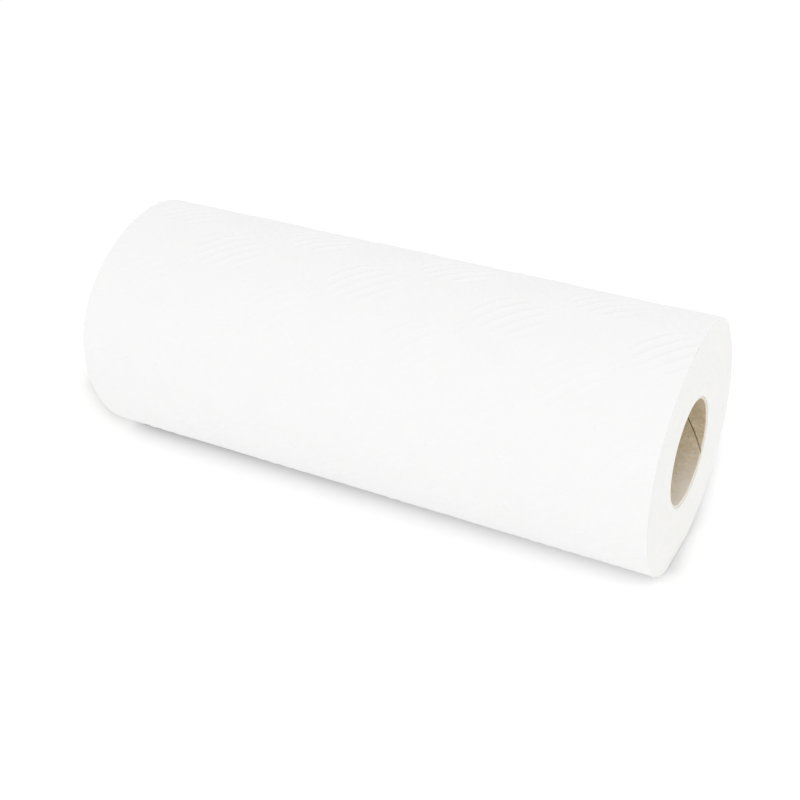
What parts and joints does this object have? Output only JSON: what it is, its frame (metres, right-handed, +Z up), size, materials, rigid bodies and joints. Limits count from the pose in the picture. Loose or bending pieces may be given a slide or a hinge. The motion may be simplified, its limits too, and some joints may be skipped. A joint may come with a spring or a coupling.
{
  "type": "paper towel roll",
  "caption": "Soft white embossed paper towel roll wound on a hollow brown cardboard core, lying on its side on a small flat; the core slips over a holder's rod.",
  "frame": {"origin": "on the surface that the roll rests on, under the middle of its box", "axes": "+X along the roll's axis, towards the end that the picture shows; +Y towards the back; +Z up"},
  "size_m": [0.23, 0.0932, 0.0888],
  "materials": {
    "paper": "soft matt, embossed",
    "cardboard": "matt, fibrous"
  },
  "bodies": {
    "root": {"paper_roll": "paper", "core_tube": "cardboard"}
  },
  "joints": []
}
